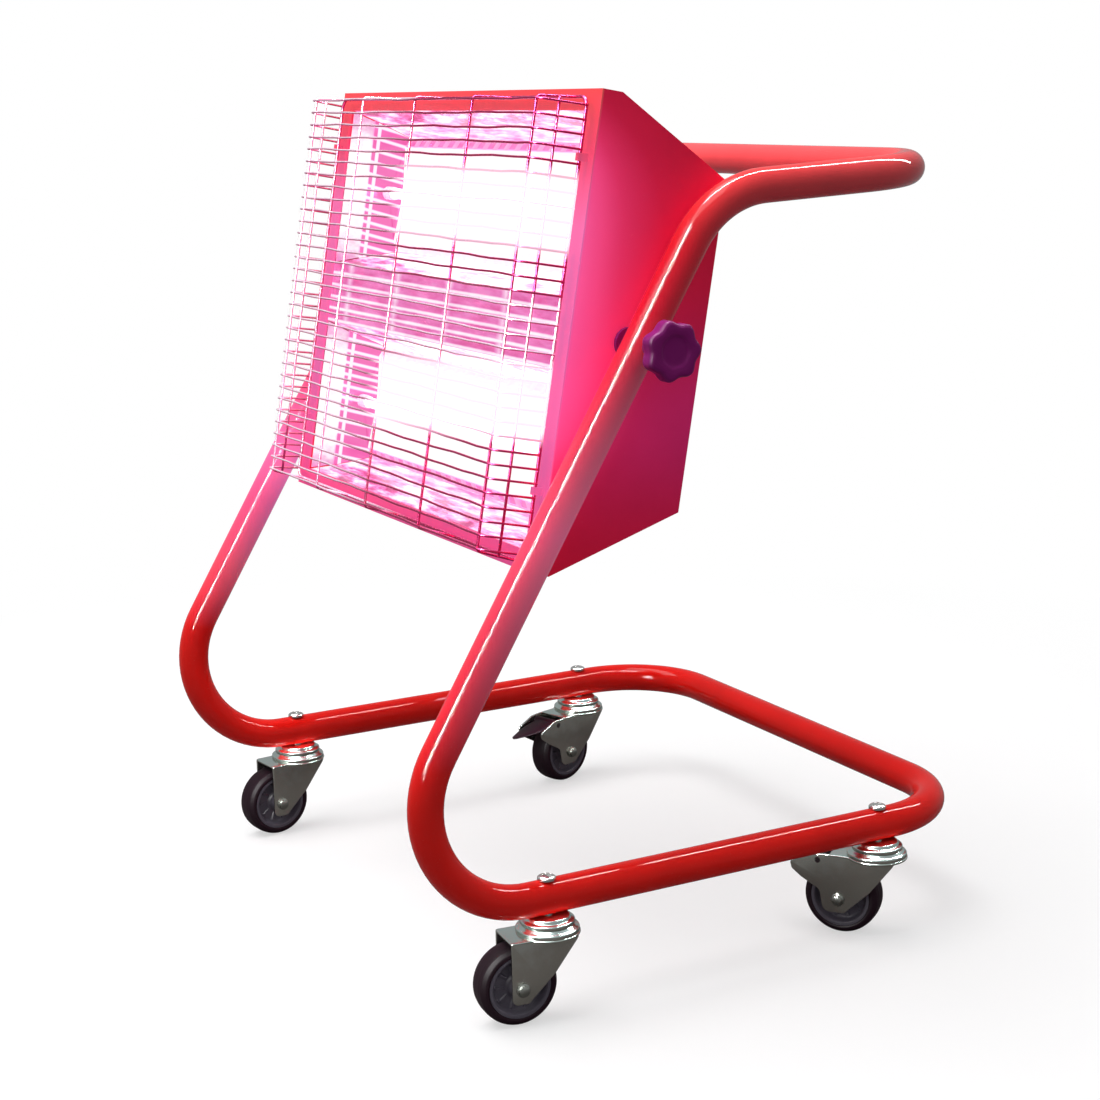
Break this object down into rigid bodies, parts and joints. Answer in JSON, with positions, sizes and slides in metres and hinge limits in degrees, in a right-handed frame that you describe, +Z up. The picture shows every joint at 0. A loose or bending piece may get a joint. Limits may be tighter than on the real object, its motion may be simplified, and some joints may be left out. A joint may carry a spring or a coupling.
{
  "type": "infrared trolley heater",
  "caption": "Red infrared heater on a castored tube frame: a wire-guarded reflector head tilts between the legs on clamp knobs, behind which a bar forms the handle.",
  "frame": {"origin": "on the floor, centred under the tube frame from side to side and from front to back", "axes": "+Z up, -Y the way the heater faces, +Y towards the handle, +X to the heater's left-hand side as seen from in front, along the tilt axis"},
  "size_m": [0.717, 0.6287, 0.8201],
  "materials": {
    "red_gloss_paint": "gloss red paint baked on steel",
    "zinc_plated_steel": "bright zinc plating, slightly green",
    "bright_bolt_steel": "bright plated steel",
    "chromed_wire": "chromed round wire",
    "grey_black_rubber": "matt grey-black rubber",
    "dark_grey_nylon": "satin dark grey nylon",
    "black_knob_plastic": "satin black plastic",
    "black_pedal_plastic": "satin black plastic",
    "polished_aluminium": "mirror polished sheet",
    "quartz_glass": "clear quartz sleeve",
    "tungsten_filament": "bright wound filament",
    "white_ceramic": "matt white ceramic",
    "pale_terminal_plastic": "matt pale plastic"
  },
  "bodies": {
    "frame": {"frame_tube": "red_gloss_paint", "castor_front_right_bolt": "bright_bolt_steel", "castor_front_right_race": "zinc_plated_steel", "castor_front_left_bolt": "bright_bolt_steel", "castor_front_left_race": "zinc_plated_steel", "castor_rear_right_bolt": "bright_bolt_steel", "castor_rear_right_race": "zinc_plated_steel", "castor_rear_left_bolt": "bright_bolt_steel", "castor_rear_left_race": "zinc_plated_steel"},
    "head": {"head_casing": "red_gloss_paint", "rear_cover": "red_gloss_paint", "cable_gland": "black_knob_plastic", "terminal_block": "pale_terminal_plastic", "reflector_divider": "polished_aluminium", "reflector_upper": "polished_aluminium", "reflector_upper_end_right": "polished_aluminium", "reflector_upper_end_left": "polished_aluminium", "lamp_upper_quartz": "quartz_glass", "lamp_upper_filament": "tungsten_filament", "lamp_upper_ceramic_right": "white_ceramic", "lamp_upper_ceramic_left": "white_ceramic", "reflector_lower": "polished_aluminium", "reflector_lower_end_right": "polished_aluminium", "reflector_lower_end_left": "polished_aluminium", "lamp_lower_quartz": "quartz_glass", "lamp_lower_filament": "tungsten_filament", "lamp_lower_ceramic_right": "white_ceramic", "lamp_lower_ceramic_left": "white_ceramic", "lamp_bracket_right": "zinc_plated_steel", "tilt_spacer_right": "black_knob_plastic", "tilt_nut_plate_right": "zinc_plated_steel", "lamp_bracket_left": "zinc_plated_steel", "tilt_spacer_left": "black_knob_plastic", "tilt_nut_plate_left": "zinc_plated_steel", "wire_guard": "chromed_wire"},
    "knob_right": {"clamp_knob_right": "black_knob_plastic"},
    "knob_left": {"clamp_knob_left": "black_knob_plastic"},
    "swivel_front_right": {"castor_front_right_fork": "zinc_plated_steel", "castor_front_right_axle": "bright_bolt_steel"},
    "wheel_front_right": {"castor_front_right_tyre": "grey_black_rubber", "castor_front_right_hub": "dark_grey_nylon"},
    "swivel_front_left": {"castor_front_left_fork": "zinc_plated_steel", "castor_front_left_axle": "bright_bolt_steel"},
    "wheel_front_left": {"castor_front_left_tyre": "grey_black_rubber", "castor_front_left_hub": "dark_grey_nylon"},
    "swivel_rear_right": {"castor_rear_right_fork": "zinc_plated_steel", "castor_rear_right_axle": "bright_bolt_steel"},
    "wheel_rear_right": {"castor_rear_right_tyre": "grey_black_rubber", "castor_rear_right_hub": "dark_grey_nylon"},
    "brake_rear_right": {"castor_rear_right_pedal": "black_pedal_plastic"},
    "swivel_rear_left": {"castor_rear_left_fork": "zinc_plated_steel", "castor_rear_left_axle": "bright_bolt_steel"},
    "wheel_rear_left": {"castor_rear_left_tyre": "grey_black_rubber", "castor_rear_left_hub": "dark_grey_nylon"},
    "brake_rear_left": {"castor_rear_left_pedal": "black_pedal_plastic"}
  },
  "joints": [
    {"name": "head_tilt", "type": "hinge", "parent": "frame", "child": "head", "pos_m": [0, -0.07899, 0.601], "axis": [1, 0, 0], "range_deg": [-80, 100]},
    {"name": "clamp_knob_right_turn", "type": "hinge", "parent": "head", "child": "knob_right", "pos_m": [0.3445, -0.07899, 0.601], "axis": [1, 0, 0], "range_deg": [0, 360]},
    {"name": "clamp_knob_left_turn", "type": "hinge", "parent": "head", "child": "knob_left", "pos_m": [-0.3445, -0.07899, 0.601], "axis": [-1, 0, 0], "range_deg": [0, 360]},
    {"name": "castor_front_right_swivel", "type": "hinge", "parent": "frame", "child": "swivel_front_right", "pos_m": [0.2985, -0.1817, 0.1137], "axis": [0, 0, 1], "continuous": true},
    {"name": "castor_front_right_roll", "type": "hinge", "parent": "swivel_front_right", "child": "wheel_front_right", "pos_m": [0.29509, -0.21412, 0.0375], "axis": [0.9945, -0.1045, 0], "continuous": true},
    {"name": "castor_front_left_swivel", "type": "hinge", "parent": "frame", "child": "swivel_front_left", "pos_m": [-0.2985, -0.1817, 0.1137], "axis": [0, 0, 1], "continuous": true},
    {"name": "castor_front_left_roll", "type": "hinge", "parent": "swivel_front_left", "child": "wheel_front_left", "pos_m": [-0.29453, -0.21406, 0.0375], "axis": [0.9925, 0.1219, 0], "continuous": true},
    {"name": "castor_rear_right_swivel", "type": "hinge", "parent": "frame", "child": "swivel_rear_right", "pos_m": [0.2985, 0.1851, 0.1137], "axis": [0, 0, 1], "continuous": true},
    {"name": "castor_rear_right_roll", "type": "hinge", "parent": "swivel_rear_right", "child": "wheel_rear_right", "pos_m": [0.27213, 0.16594, 0.0375], "axis": [0.5878, -0.809, 0], "continuous": true},
    {"name": "castor_rear_right_brake", "type": "hinge", "parent": "swivel_rear_right", "child": "brake_rear_right", "pos_m": [0.25481, 0.15336, 0.0757], "axis": [0.5878, -0.809, 0], "range_deg": [0, 12]},
    {"name": "castor_rear_left_swivel", "type": "hinge", "parent": "frame", "child": "swivel_rear_left", "pos_m": [-0.2985, 0.1851, 0.1137], "axis": [0, 0, 1], "continuous": true},
    {"name": "castor_rear_left_roll", "type": "hinge", "parent": "swivel_rear_left", "child": "wheel_rear_left", "pos_m": [-0.28951, 0.15376, 0.0375], "axis": [0.9613, 0.2756, 0], "continuous": true},
    {"name": "castor_rear_left_brake", "type": "hinge", "parent": "swivel_rear_left", "child": "brake_rear_left", "pos_m": [-0.28362, 0.13319, 0.0757], "axis": [0.9613, 0.2756, 0], "range_deg": [0, 12]}
  ]
}
